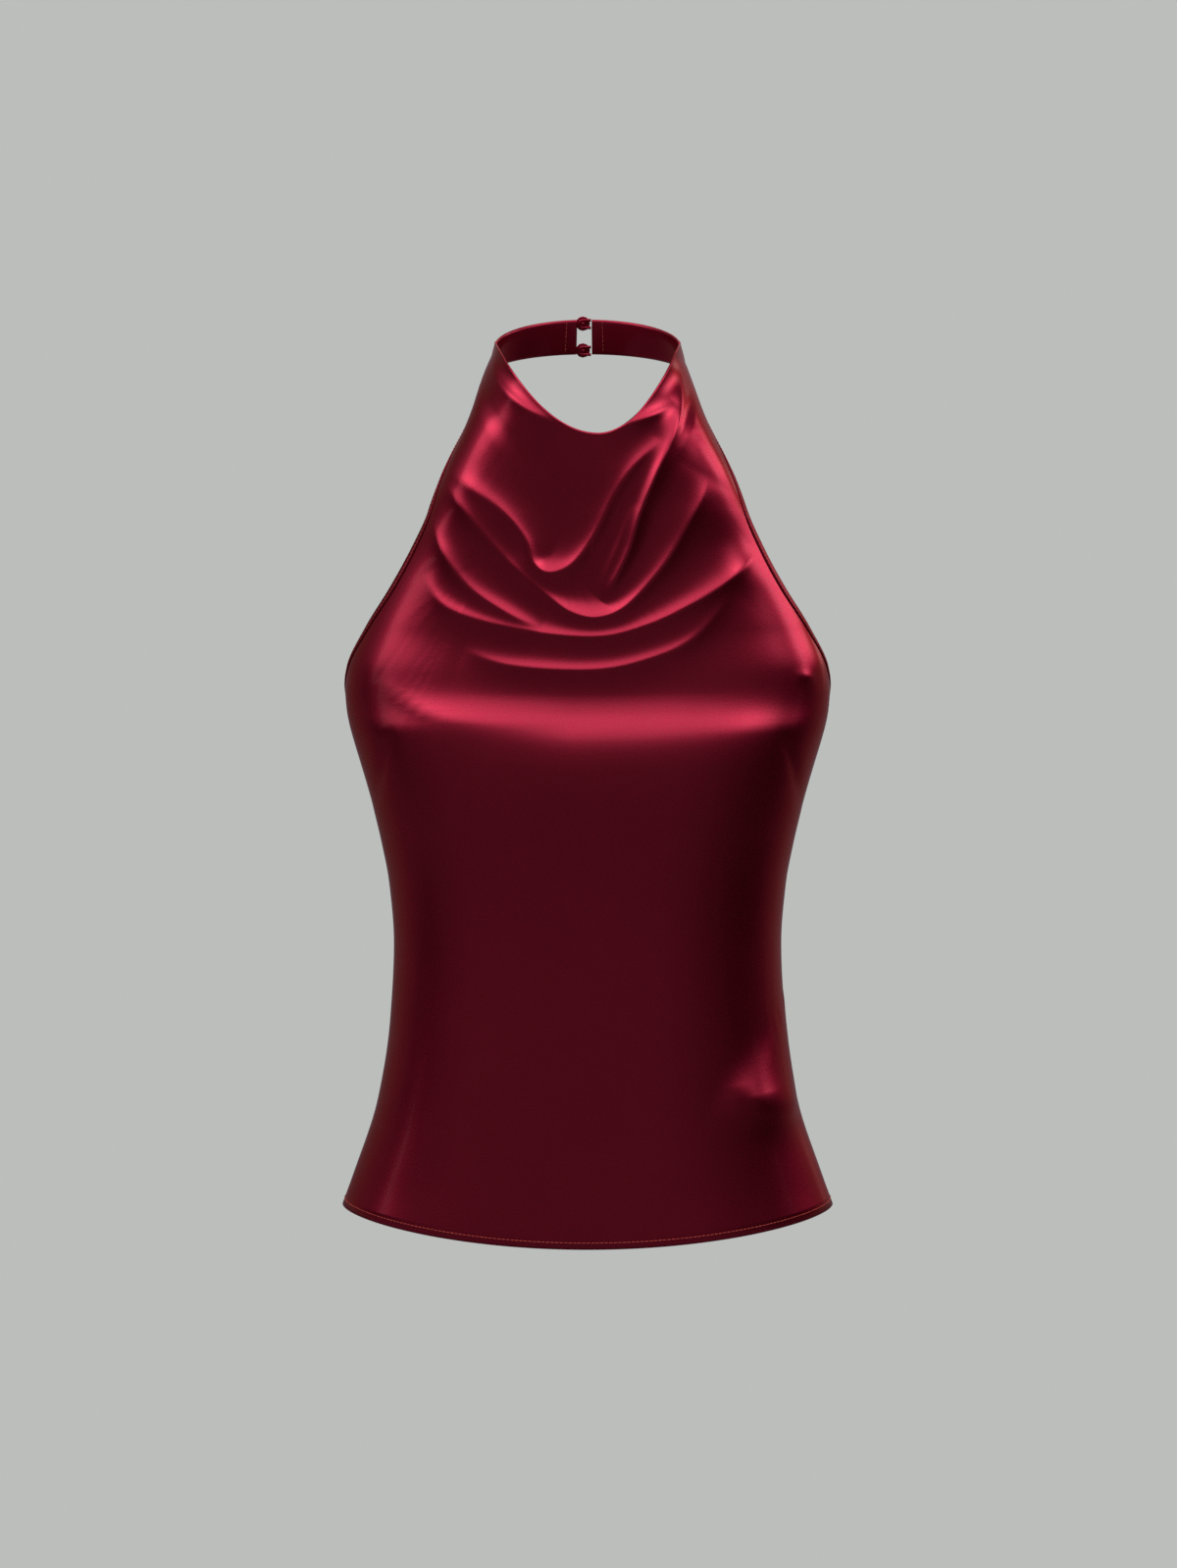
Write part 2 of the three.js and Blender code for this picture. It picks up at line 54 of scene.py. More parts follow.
# Level sections of the top: height, half width, depth in front, depth behind, roundness
SECTIONS = [
    (20, 60.5, 55, 60, 2),
    (0, 61.6, 57, 62, 2),
    (-20, 66.6, 72, 66, 2.8),
    (-40, 73, 84, 70, 3.6),
    (-60, 82, 89, 74, 3.8),
    (-83, 95.5, 88, 78, 3.5),
    (-110, 110, 85, 82, 3.15),
    (-135, 123, 82, 86, 3),
    (-161, 136.6, 81, 90, 2.95),
    (-187, 149, 83, 93, 2.85),
    (-213, 158.6, 87, 95, 2.75),
    (-228, 160.2, 90, 95, 2.65),
    (-240, 159.4, 94.5, 94, 2.6),
    (-250, 157.6, 99.7, 93, 2.6),
    (-257, 155.8, 102.8, 92.5, 2.55),
    (-266, 153.2, 105.3, 92, 2.5),
    (-276, 150.2, 106.9, 91, 2.45),
    (-290, 146.2, 107.6, 89.5, 2.4),
    (-310, 141, 106.2, 86, 2.35),
    (-330, 136.4, 103, 83, 2.3),
    (-356, 131.6, 100, 80.5, 2.3),
    (-395, 128.6, 98, 80, 2.3),
    (-447, 131.3, 97.5, 87, 2.3),
    (-499, 139.4, 98, 98, 2.25),
    (-551, 156.3, 99.5, 111, 2.1),
    (-580, 167, 101, 118, 2.05),
]

# The front panel's cut edge: height, degrees round from the front centre
ARMHOLE = [
    (0, 96),
    (-20, 96),
    (-36, 77),
    (-60, 67),
    (-83, 62),
    (-110, 62),
    (-135, 65),
    (-161, 69),
    (-187, 75),
    (-203, 79),
    (-219, 84),
    (-232, 91),
    (UNDERARM_Z, SIDE_SEAM_DEGREES),
]

# Rows of the front panel: row, height at its ends, height at its middle, power of its sag, share of a
# hanging cord in its course, how far across its lowest point lies
FRONT_ROWS = [
    (0, 0, -61.5, 2, 1, 0.11),
    (0.1, -20, -98, 1.9, 0.65, 0.07),
    (0.2, -50, -137, 1.9, 0.3, 0.03),
    (0.3, -96, -165, 1.95, 0.1, 0),
    (0.4, -141, -188, 2, 0, 0),
    (0.5, -190, -212, 2.1, 0, 0),
    (0.6, UNDERARM_Z, -246, 2.2, 0, 0),
    (0.7, -300, -300, 2.2, 0, 0),
    (1, HEM_SIDE_Z, HEM_FRONT_Z, 2, 0, 0),
]

# Roundness of a hanging cord's course seen from above, and the power with which folds end at the edges
CORD_POWER = 3.2
EDGE_HOLD = 12

# Hanging folds in the front view. A line runs along a fold's crest, from left to right. Its columns:
# across, height, how far the crest stands out, length over which the cloth flares out above the crest,
# length over which it falls back below. A crest is rounded, and a fine raised line lies on it where the
# flare isn't wide: its share of the rise, its width.
CREST_RADIUS = 1.3
CREST_LINE = (0.14, 2)
WIDE_FLARE = 20
SWAGS = {
    "edge_left": [
        (-62, -6, 0, 4, 20),
        (-54, -28, 4, 4, 26),
        (-38, -46, 4, 4, 26),
        (-17, -57, 0, 4, 20),
    ],
    "edge_right": [
        (9, -64, 0, 4, 7),
        (26, -56, 2.6, 4, 7),
        (41, -50, 2.6, 4, 7),
        (54, -42, 0, 4, 7),
    ],
    "inner": [
        (-92, -82, 0, 7, 12),
        (-73, -96, 3, 7, 12),
        (-53, -112, 6, 11, 12),
        (-39, -130, 7, 13, 10),
        (-34, -145, 7, 12, 8),
        (-24, -151, 7, 12, 8),
        (-9, -145, 7, 12, 10),
        (5, -126, 7, 12, 11),
        (16, -103, 5.5, 11, 10),
        (30, -82, 4.5, 9, 8),
        (46, -66, 0, 9, 8),
    ],
    "pleat": [
        (8, -168, 0, 7, 5),
        (16, -158, 5, 7, 5),
        (26, -137, 7, 7, 7),
        (33, -113, 8, 7, 9),
        (42, -89, 8, 7, 12),
        (54, -56, 6, 7, 13),
        (61, -12, 0, 7, 12),
    ],
    "main": [
        (-95, -88, 0, 12, 14),
        (-76, -112, 4, 11, 11),
        (-49, -145, 6, 11, 9),
        (-23, -168, 6, 11, 8),
        (-8, -177, 6, 11, 8),
        (8, -179, 6, 11, 8),
        (26, -171, 7, 13, 9),
        (48, -146, 8, 15, 11),
        (64, -117, 6, 15, 13),
        (79, -91, 0, 15, 13),
    ],
    "left": [
        (-103, -110, 0, 10, 10),
        (-91, -137, 5, 10, 10),
        (-75, -160, 5.5, 10, 9),
        (-50, -177, 4, 9, 9),
        (-30, -186, 0, 8, 8),
    ],
    "low": [
        (-105, -152, 0, 8, 10),
        (-89, -173, 4, 8, 10),
        (-50, -186, 5, 9, 10),
        (4, -192, 5.5, 9.5, 10),
        (39, -184, 6.5, 11, 10),
        (71, -168, 7, 13, 11),
        (94, -152, 4.5, 14, 12),
        (110, -138, 0, 14, 12),
    ],
    "last": [
        (-79, -200, 0, 6, 9),
        (-50, -210, 3, 7, 9),
        (3, -213, 4, 8, 9),
        (39, -206, 4, 8, 9),
        (68, -192, 3.5, 8, 9),
        (93, -162, 0, 8, 9),
    ],
    "swell": [
        (-136, -220, 0, 26, 14),
        (-104, -240, 4, 26, 14),
        (-60, -246, 3, 26, 14),
        (-10, -246, 0, 26, 14),
    ],
    "underarm": [
        (134, -216, 0, 4, 4),
        (142, -218, 1.2, 4, 4),
        (149, -220, 0, 4, 4),
    ],
    "hip": [
        (86, -484, 0, 28, 9),
        (100, -493, 5, 28, 9),
        (115, -498, 7, 28, 9),
        (129, -500, 5, 28, 9),
        (139, -500, 0, 28, 9),
    ],
    "streak": [
        (6, -164, 0, 3, 5),
        (18, -136, 1.8, 3, 6),
        (29, -106, 0, 3, 6),
    ],
}

# Sewn darts on both sides: across, height, depth of the seam, its half width
DART = [
    (141, -303, 0.4, 3),
    (137, -287, 1.6, 3),
    (130, -264, 1.6, 3),
    (123, -254, 0, 4),
]

# Fineness of the panels' grids. A stretch of front rows: its first row, its last, its count.
FRONT_COLUMNS = 236
FRONT_ROW_STEPS = [(0, 0.56, 140), (0.56, 1, 58)]
BACK_COLUMNS = 150
BACK_ROWS = 110

# Cloth and seams. The side lap is the share of its half width by which the back panel goes on under the
# front one, and the side tuck is how much deeper it lies there.
CLOTH = 0.8
PANEL_WALL = 1.3
SEAM_GAP = 0.35
SIDE_LAP = 0.014
SIDE_TUCK = 1

# Bindings. The start of an armhole's binding: share of the full width, height over which it grows. The
# mouth and belly are shares of half the thickness, and the belly's place is a share of the width.
BINDING_LAP = 0.4
BINDING_WIDTH = 5.2
BINDING_START = (0.4, 45)
BINDING_THICKNESS = 2.4
BINDING_CLOTH = 0.33
BINDING_MOUTH = 0.86
BINDING_BELLY = 1.02
BELLY_PLACE = 0.23
BINDING_TIP_STEPS = 7
BINDING_STITCH_PLACE = 1.3

# How far inwards a panel is read beside its edge, as a share of it
EDGE_STEP = 0.02


def read(table, column, at):
    """A column of a table at values of its first column, on a smooth curve that stays between the rows."""
    data = np.array(table, float)
    if data[0, 0] > data[-1, 0]:
        data = data[::-1]
    keys, values = data[:, 0], data[:, column]
    chords = np.diff(values) / np.diff(keys)
    before = np.concatenate([chords[:1], chords])
    after = np.concatenate([chords, chords[-1:]])
    both = before * after
    slopes = np.where(both > 0, 2 * both / np.where(both > 0, before + after, 1), 0)
    at = np.clip(at, keys[0], keys[-1])
    i = np.clip(np.searchsorted(keys, at) - 1, 0, len(keys) - 2)
    step = keys[i + 1] - keys[i]
    t = (at - keys[i]) / step
    return (
        (2 * t**3 - 3 * t**2 + 1) * values[i]
        + (t**3 - 2 * t**2 + t) * step * slopes[i]
        + (3 * t**2 - 2 * t**3) * values[i + 1]
        + (t**3 - t**2) * step * slopes[i + 1]
    )


def round_curve(angle, half, depth, power):
    """Across and forward of a rounded level curve in a direction from its middle."""
    s, c = np.sin(angle), np.cos(angle)
    reach = (np.abs(s / half) ** power + np.abs(c / depth) ** power) ** (-1 / power)
    return reach * s, reach * c


def body_point(angle, z):
    """Points of the smooth body that the cloth hangs on, and their level outward directions."""
    half, front, back, power = (read(SECTIONS, c, z) for c in (1, 2, 3, 4))
    depth = np.where(np.cos(angle) > 0, front, back)
    x, forward = round_curve(angle, half, depth, power)
    y = -forward
    out = np.stack(
        [
            np.sign(x) * np.abs(x / half) ** (power - 1) / half,
            np.sign(y) * np.abs(y / depth) ** (power - 1) / depth,
            np.zeros_like(x),
        ],
        -1,
    )
    return np.stack([x, y, z + 0 * x], -1), out / np.linalg.norm(out, axis=-1, keepdims=True)


def smoothed(line, pieces=6):
    """More rows on a round curve through a line's own rows, with no rise below nought."""
    rows = np.array([line[0], *line, line[-1]], float)
    at = np.arange((len(line) - 1) * pieces + 1) / pieces
    k = np.minimum(at.astype(int), len(line) - 2)
    t = (at - k)[:, None]
    a, b, c, d = (rows[k + n] for n in range(4))
    curve = b + t * (c - a) / 2 + t**2 * (a - 2.5 * b + 2 * c - d / 2) + t**3 * (3 * (b - c) + d - a) / 2
    curve[:, 2] = np.maximum(curve[:, 2], 0)
    return curve


def nearest(line, x, z):
    """Signed distance to a line, positive on its low side, and the line's other columns there."""
    shape = x.shape
    x, z = x.ravel()[:, None], z.ravel()[:, None]
    a, b = line[:-1], line[1:]
    dx, dz = b[:, 0] - a[:, 0], b[:, 1] - a[:, 1]
    t = np.clip(((x - a[:, 0]) * dx + (z - a[:, 1]) * dz) / (dx * dx + dz * dz), 0, 1)
    ox, oz = x - a[:, 0] - t * dx, z - a[:, 1] - t * dz
    distance = np.hypot(ox, oz)
    k = distance.argmin(1)
    n = np.arange(len(k))
    t, sign = t[n, k], np.sign(ox * dz - oz * dx)[n, k]
    columns = [(a[k, c] + t * (b[k, c] - a[k, c])).reshape(shape) for c in range(2, line.shape[1])]
    return (distance[n, k] * sign).reshape(shape), columns


def smooth_step(t):
    t = np.clip(t, 0, 1)
    return t * t * (3 - 2 * t)


def fold_height(x, z):
    """How far the cowl's folds stand out of the body at points of the front view."""
    height = np.zeros_like(x)
    for line in SWAGS.values():
        below, (rise, flare, run) = nearest(smoothed(line), x, z)
        soft = CREST_RADIUS
        mean, tilt = (1 / flare + 1 / run) / 2, (1 / run - 1 / flare) / 2
        height += rise * np.exp(-mean * (np.sqrt(below**2 + soft**2) - soft) - tilt * below)
        sharp = CREST_LINE[0] * rise * (flare < WIDE_FLARE)
        height += sharp * np.exp(-np.hypot(below, CREST_LINE[1] / 2) / CREST_LINE[1])
    below, (depth, width) = nearest(smoothed(DART), np.abs(x), z)
    height -= depth * np.exp(-np.abs(below) / width)
    return height


def front_point(across, row):
    """Points of the front panel's outer face, across from -1 at the left edge to 1 at the right one."""
    edge, middle, power, hung, low = (read(FRONT_ROWS, c, row) for c in (1, 2, 3, 4, 5))
    limit = np.radians(np.where(edge < UNDERARM_Z, SIDE_SEAM_DEGREES, read(ARMHOLE, 1, edge)))
    end, _ = body_point(limit, edge)
    level, _ = body_point(limit * across, edge)
    front, _ = body_point(0 * across, middle)
    cord_x, forward = round_curve(across * math.pi / 2, end[..., 0], end[..., 1] - front[..., 1], CORD_POWER)
    share = (level[..., 0] + (cord_x - level[..., 0]) * hung) / end[..., 0]
    from_low = np.abs(share - low) / np.where(share > low, 1 - low, 1 + low)
    z = edge + (middle - edge) * (1 - from_low**power)
    point, out = body_point(limit * across, z)
    cord = np.stack([cord_x, end[..., 1] - forward, z], -1)
    point = point + (cord - point) * hung[..., None]
    hold = 1 - np.abs(across) ** EDGE_HOLD
    return point + out * (hold * fold_height(point[..., 0], point[..., 2]))[..., None]


# The dip of the back's top edge and the power of its curve. Flutes over the back's hem: half waves from the
# middle to a side, depth, height where they start.
BACK_SCOOP = 24
SCOOP_POWER = 2.2
BACK_FLUTES = (5, 2.2, -330)


def back_point(across, down):
    """Points of the back panel's outer face, across from -1 at the right seam to 1 at the left one, and
    a little further where it laps under the front panel."""
    level = np.minimum(np.abs(across), 1)
    top = UNDERARM_Z - BACK_SCOOP * (1 - level**SCOOP_POWER)
    hem = HEM_BACK_Z + (HEM_SIDE_Z - HEM_BACK_Z) * level**2
    z = top + (hem - top) * down
    turn = math.pi - math.radians(SIDE_SEAM_DEGREES)
    point, out = body_point(math.pi + turn * across, z)
    count, depth, start = BACK_FLUTES
    fade = (1 - level**2) * smooth_step((start - z) / (start - HEM_BACK_Z))
    tuck = SIDE_TUCK * smooth_step((level - 1 + SIDE_LAP) / SIDE_LAP)
    return point + out * (depth * np.cos(math.pi * count * across) * fade - tuck)[..., None]


def grid_normals(grid):
    """Directions out of a grid's outer face."""
    across = np.gradient(grid, axis=1)
    down = np.gradient(grid, axis=0)
    normal = np.cross(down, across)
    return normal / np.linalg.norm(normal, axis=-1, keepdims=True)


MATERIALS = {}


def add_mesh(name, points, faces, materials, face_slots=None):
    """A smooth piece of the top, from points in millimetres."""
    mesh = bpy.data.meshes.new(name)
    mesh.from_pydata((np.asarray(points) * MM).tolist(), [], [list(map(int, f)) for f in faces])
    for material in materials:
        mesh.materials.append(MATERIALS[material])
    if face_slots is not None:
        mesh.polygons.foreach_set("material_index", np.asarray(face_slots, np.int32))
    mesh.polygons.foreach_set("use_smooth", np.ones(len(mesh.polygons), bool))
    mesh.validate()
    mesh.update()
    piece = bpy.data.objects.new(name, mesh)
    bpy.context.scene.collection.objects.link(piece)
    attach(piece, "root")
    return piece


def shell(name, grid):
    """A closed thin cloth with the grid as its outer face and the satin's reverse as its inner one."""
    rows, columns = grid.shape[:2]
    inner = grid - grid_normals(grid) * CLOTH
    points = np.concatenate([grid.reshape(-1, 3), inner.reshape(-1, 3)])
    index = np.arange(rows * columns).reshape(rows, columns)
    a, b = index[:-1, :-1].ravel(), index[:-1, 1:].ravel()
    c, d = index[1:, 1:].ravel(), index[1:, :-1].ravel()
    n = rows * columns
    outside = np.stack([a, d, c, b], -1)
    inside = np.stack([a, b, c, d], -1) + n
    rim = np.concatenate([index[0, :-1], index[:-1, -1], index[-1, :0:-1], index[:0:-1, 0]])
    after = np.roll(rim, -1)
    rims = np.stack([rim, after, after + n, rim + n], -1)
    faces = np.concatenate([outside, inside, rims])
    slots = np.concatenate([np.zeros(len(outside)), np.ones(len(inside)), np.zeros(len(rims))])
    return add_mesh(name, points, faces, ["satin", "reverse"], slots)


def flat_end(ring):
    """One face over a ring of points."""
    return [ring]


def fold_end(ring):
    """Faces over the ring of a folded strip, whose second half runs back inside the first."""
    return [[ring[k], ring[k + 1], ring[-2 - k], ring[-1 - k]] for k in range(len(ring) // 2 - 1)]


def bar(name, rings, material, end=flat_end):
    """A closed bar with a ring of points round each station of its line."""
    stations, around = rings.shape[:2]
    index = np.arange(stations * around).reshape(stations, around)
    a, b = index[:-1], np.roll(index[:-1], -1, 1)
    faces = np.stack([a, b, b + around, a + around], -1).reshape(-1, 4).tolist()
    faces += end(index[0, ::-1].tolist()) + end(index[-1].tolist())
    piece = add_mesh(name, rings.reshape(-1, 3), faces, [material])
    turned_out(piece)
    return piece


def turned_out(piece):
    """Turns the faces of a closed piece outwards."""
    edit = bmesh.new()
    edit.from_mesh(piece.data)
    bmesh.ops.recalc_face_normals(edit, faces=edit.faces)
    edit.to_mesh(piece.data)
    edit.free()


def full_turn(sides):
    """Angles once round, one for each side."""
    return np.arange(sides) * 2 * math.pi / sides


# Along a stitch: place, and how far its middle lies off the cloth, in radii. Sizes of stitches: length,
# space, radius.
STITCH = np.array([(0, -0.7), (0.2, 0.5), (0.5, 0.8), (0.8, 0.5), (1, -0.7)])
STITCH_SIDES = 6
BINDING_STITCH = (2.1, 0.6, 0.18)
HEM_STITCH = (2.4, 0.5, 0.2)
BAND_STITCH = (2.3, 0.6, 0.17)


def stitches(name, line, normals, size):
    """Short threads that lie on a line, each sunk a little at its ends."""
    length, space, radius = size
    line, normals = np.asarray(line, float), np.asarray(normals, float)
    run = np.concatenate([[0], np.cumsum(np.linalg.norm(np.diff(line, axis=0), axis=1))])

    def at(s, data):
        return np.stack([np.interp(s, run, data[:, c]) for c in range(3)], -1)

    points, faces = [], []
    for k in range(int(run[-1] // (length + space))):
        start = k * (length + space) + space
        stops = start + length * STITCH[:, 0]
        centre, up = at(stops, line), at(stops, normals)
        along = np.gradient(centre, axis=0)
        along /= np.linalg.norm(along, axis=1, keepdims=True)
        side = np.cross(along, up)
        lift = radius * STITCH[:, 1]
        base = len(points)
        for j in range(len(STITCH)):
            for turn in full_turn(STITCH_SIDES):
                ring = side[j] * math.cos(turn) + up[j] * math.sin(turn)
                points.append(centre[j] + up[j] * lift[j] + ring * radius)
        for j in range(len(STITCH) - 1):
            for i in range(STITCH_SIDES):
                p = base + j * STITCH_SIDES + i
                q = base + j * STITCH_SIDES + (i + 1) % STITCH_SIDES
                faces.append([p, q, q + STITCH_SIDES, p + STITCH_SIDES])
        last = base + (len(STITCH) - 1) * STITCH_SIDES
        faces.append([base + i for i in reversed(range(STITCH_SIDES))])
        faces.append([last + i for i in range(STITCH_SIDES)])
    turned_out(add_mesh(name, points, faces, ["thread"]))


# Materials: the tint of a sheen seen edge on, the coat, and the sizes of the tone's and threads' grain
EDGE_TINT = (0.75, 0.12, 0.2)
COAT_ROUGHNESS = 0.12
TONE_SCALE = 26
THREAD_SCALE = 1500
THREAD_STRETCH = (1, 1, 0.45)
ROUGHNESS_SPREAD = 0.05
GRAIN_HEIGHT = 0.0002


def satin(name, colour, metallic, roughness, coat, grain, tint):
    """A cloth with fine threads in its sheen, and a colour that varies a little from place to place."""
    material = bpy.data.materials.new(name)
    material.use_nodes = True
    nodes, links = material.node_tree.nodes, material.node_tree.links
    shader = nodes["Principled BSDF"]
    shader.inputs["Metallic"].default_value = metallic
    shader.inputs["Specular Tint"].default_value = (*EDGE_TINT, 1)
    shader.inputs["Coat Weight"].default_value = coat
    shader.inputs["Coat Roughness"].default_value = COAT_ROUGHNESS
    shader.inputs["Coat IOR"].default_value = 1.5
    place = nodes.new("ShaderNodeTexCoord")
    tone = nodes.new("ShaderNodeTexNoise")
    tone.inputs["Scale"].default_value = TONE_SCALE
    tone.inputs["Detail"].default_value = 3
    links.new(place.outputs["Object"], tone.inputs["Vector"])
    mix = nodes.new("ShaderNodeMix")
    mix.data_type = "RGBA"
    mix.inputs["A"].default_value = (*[c * (1 - tint) for c in colour], 1)
    mix.inputs["B"].default_value = (*[c * (1 + tint) for c in colour], 1)
    links.new(tone.outputs["Fac"], mix.inputs["Factor"])
    links.new(mix.outputs["Result"], shader.inputs["Base Color"])
    threads = nodes.new("ShaderNodeTexNoise")
    threads.inputs["Scale"].default_value = THREAD_SCALE
    threads.inputs["Detail"].default_value = 2
    stretch = nodes.new("ShaderNodeMapping")
    stretch.inputs["Scale"].default_value = THREAD_STRETCH
    links.new(place.outputs["Object"], stretch.inputs["Vector"])
    links.new(stretch.outputs["Vector"], threads.inputs["Vector"])
    spread = nodes.new("ShaderNodeMapRange")
    spread.inputs["To Min"].default_value = roughness - ROUGHNESS_SPREAD
    spread.inputs["To Max"].default_value = roughness + ROUGHNESS_SPREAD
    links.new(threads.outputs["Fac"], spread.inputs["Value"])
    links.new(spread.outputs["Result"], shader.inputs["Roughness"])
    bump = nodes.new("ShaderNodeBump")
    bump.inputs["Strength"].default_value = grain
    bump.inputs["Distance"].default_value = GRAIN_HEIGHT
    links.new(threads.outputs["Fac"], bump.inputs["Height"])
    links.new(bump.outputs["Normal"], shader.inputs["Normal"])
    MATERIALS[name] = material


# Columns: colour, metallic share, roughness, coat, strength of the grain, change of tone
LOOKS = {
    "satin": ((0.47, 0.014, 0.05), 0.94, 0.26, 0.35, 0.25, 0.08),
    "reverse": ((0.16, 0.006, 0.02), 0.25, 0.6, 0.05, 0.3, 0.1),
    "trim": ((0.42, 0.012, 0.045), 0.85, 0.36, 0.3, 0.3, 0.08),
    # The bindings' satin is a darker copy of the trim's: painted shade along the armholes and the back's top
    # edge
    "binding_painted_shade": ((0.25, 0.008, 0.027), 0.85, 0.34, 0.15, 0.3, 0.08),
    "thread": ((0.66, 0.12, 0.09), 0.2, 0.45, 0.1, 0.2, 0.1),
}
for name, look in LOOKS.items():
    satin(name, *look)

# Front panel
front_rows = np.concatenate([a + (b - a) * np.arange(n) / n for a, b, n in FRONT_ROW_STEPS] + [[1]])
front_across = np.linspace(-1, 1, FRONT_COLUMNS + 1)
grid_across, grid_rows = np.meshgrid(front_across, front_rows)
front_grid = front_point(grid_across, grid_rows)
front_cloth = shell("front_cloth", front_grid)
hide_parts("front")

# Back panel
back_across = np.linspace(-1 - SIDE_LAP, 1 + SIDE_LAP, BACK_COLUMNS + 1)
back_grid = back_point(*np.meshgrid(back_across, np.linspace(0, 1, BACK_ROWS + 1)))
back_cloth = shell("back_cloth", back_grid)
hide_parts("back")


# Bindings, folded over the cut edges
def edge_frame(points, inner):
    """Directions along a cut edge: out of the cloth, and away from the panel."""
    along = np.gradient(points, axis=0)
    normal = np.cross(along, inner - points)
    normal /= np.linalg.norm(normal, axis=1, keepdims=True)
    _, out = body_point(np.arctan2(points[:, 0], -points[:, 1]), points[:, 2])
    normal *= np.sign((normal * out).sum(1, keepdims=True))
    away = np.cross(along, normal)
    away /= np.linalg.norm(away, axis=1, keepdims=True)
    away *= -np.sign((away * (inner - points)).sum(1, keepdims=True))
    return normal, away


def fold_profile(width, inset):
    """One face of a folded strip in its section: how far away from the panel, and how far out."""
    half = BINDING_THICKNESS / 2
    side = [
        (-BINDING_LAP, half * BINDING_MOUTH - inset),
        (width * BELLY_PLACE, half * BINDING_BELLY - inset),
        (width / 2, half - inset),
    ]
    turns = np.linspace(math.pi / 2, -math.pi / 2, BINDING_TIP_STEPS)
    tip = [(width - half + (half - inset) * math.cos(t), (half - inset) * math.sin(t)) for t in turns]
    return side + tip + [(away, -out) for away, out in side[::-1]]


def binding(name, points, inner, widths):
    """A strip folded over a cut edge, open towards the panel."""
    normal, away = edge_frame(points, inner)
    rings = []
    for p, n, w, width in zip(points, normal, away, widths):
        centre = p - n * PANEL_WALL / 2
        section = fold_profile(width, 0) + fold_profile(width, BINDING_CLOTH)[::-1]
        rings.append([centre + w * a + n * u for a, u in section])
    # The binding gets the darker satin, which is painted shade on its edges
    return bar(name, np.array(rings), "binding_painted_shade", fold_end), normal, away


def sew_binding(name, edge, normal, away):
    """Stitches along a binding's inner side."""
    line = edge + normal * (BINDING_THICKNESS - PANEL_WALL) / 2 + away * BINDING_STITCH_PLACE
    stitches(name + "_stitches", line, normal, BINDING_STITCH)


# The armhole bindings run between these rows of the front panel
ARMHOLE_ROWS = (0.106, 0.6)
armhole_rows = front_rows[(front_rows > ARMHOLE_ROWS[0]) & (front_rows < ARMHOLE_ROWS[1])]
armhole_rows = np.append(armhole_rows, ARMHOLE_ROWS[1])
for name, side in (("armhole_binding_left", -1), ("armhole_binding_right", 1)):
    edge = front_point(np.full_like(armhole_rows, side), armhole_rows)
    inner = front_point(np.full_like(armhole_rows, side * (1 - EDGE_STEP)), armhole_rows)
    fallen = smooth_step((edge[0, 2] - edge[:, 2]) / BINDING_START[1])
    widths = BINDING_WIDTH * (BINDING_START[0] + (1 - BINDING_START[0]) * fallen)
    piece, normal, away = binding(name + "_cloth", edge, inner, widths)
    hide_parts(name)
    sew_binding(name, edge, normal, away)

edge, inner = back_point(*np.meshgrid(np.linspace(-1, 1, BACK_COLUMNS + 1), [0, EDGE_STEP]))
piece, normal, away = binding("back_binding_cloth", edge, inner, np.full(len(edge), BINDING_WIDTH))
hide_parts("back_binding")
sew_binding("back_binding", edge, normal, away)

# Hem stitching, a little above the lower edge and clear of its ends
HEM_DEPTH = 4.4
HEM_ENDS = slice(3, -3)
for name, grid in (("front", front_grid), ("back", back_grid)):
    normals = grid_normals(grid)
    rise = (grid[-2] - grid[-1]) / np.linalg.norm(grid[-2] - grid[-1], axis=1, keepdims=True)
    line = grid[-1] + rise * HEM_DEPTH
    stitches(name + "_hem_stitches", line[HEM_ENDS], normals[-1, HEM_ENDS], HEM_STITCH)

# Neck band. Its upper and lower edges are level curves: half width, depth, height at the side line, height
# at the centre back. The ends are places across. The wall keeps a margin from both edges and gets thinner
# towards them, down to a share of its thickness. The hem at an end lies a small angle inwards.
BAND_WALL = 2
BAND_UPPER = np.array([61.6, 61, 0, 20.4])
BAND_LOWER = np.array([66.6, 66, -20, -3.6])
BAND_ENDS = (-7.8, 3)
BAND_MARGIN = 0.02
BAND_STEPS = 13
BAND_EDGE = 0.55
BAND_HEM = 0.12
BAND_STITCH_ROWS = {"top": 0.08, "bottom": 0.92}
BAND_END_ROWS = np.linspace(0.06, 0.94, 20)


def band_point(angle, down):
    """Points of the band's outer face, by the angle round from the front and the share of the way down."""
    angle, down = np.broadcast_arrays(angle, down)
    half, depth, side, back = (BAND_UPPER[k] + (BAND_LOWER[k] - BAND_UPPER[k]) * down for k in range(4))
    y = -depth * np.cos(angle)
    return np.stack([half * np.sin(angle), y, side + (back - side) * y / depth], -1)


def band_normal(angle, down):
    """Directions out of the band."""
    small = 0.01
    along = band_point(angle + small, down) - band_point(angle - small, down)
    lower = band_point(angle, down + small) - band_point(angle, down - small)
    normal = np.cross(lower, along)
    return normal / np.linalg.norm(normal, axis=-1, keepdims=True)


def band_end(x):
    """The angle at which the back of the band reaches a place across."""
    return math.pi - math.asin(x / BAND_LOWER[0])


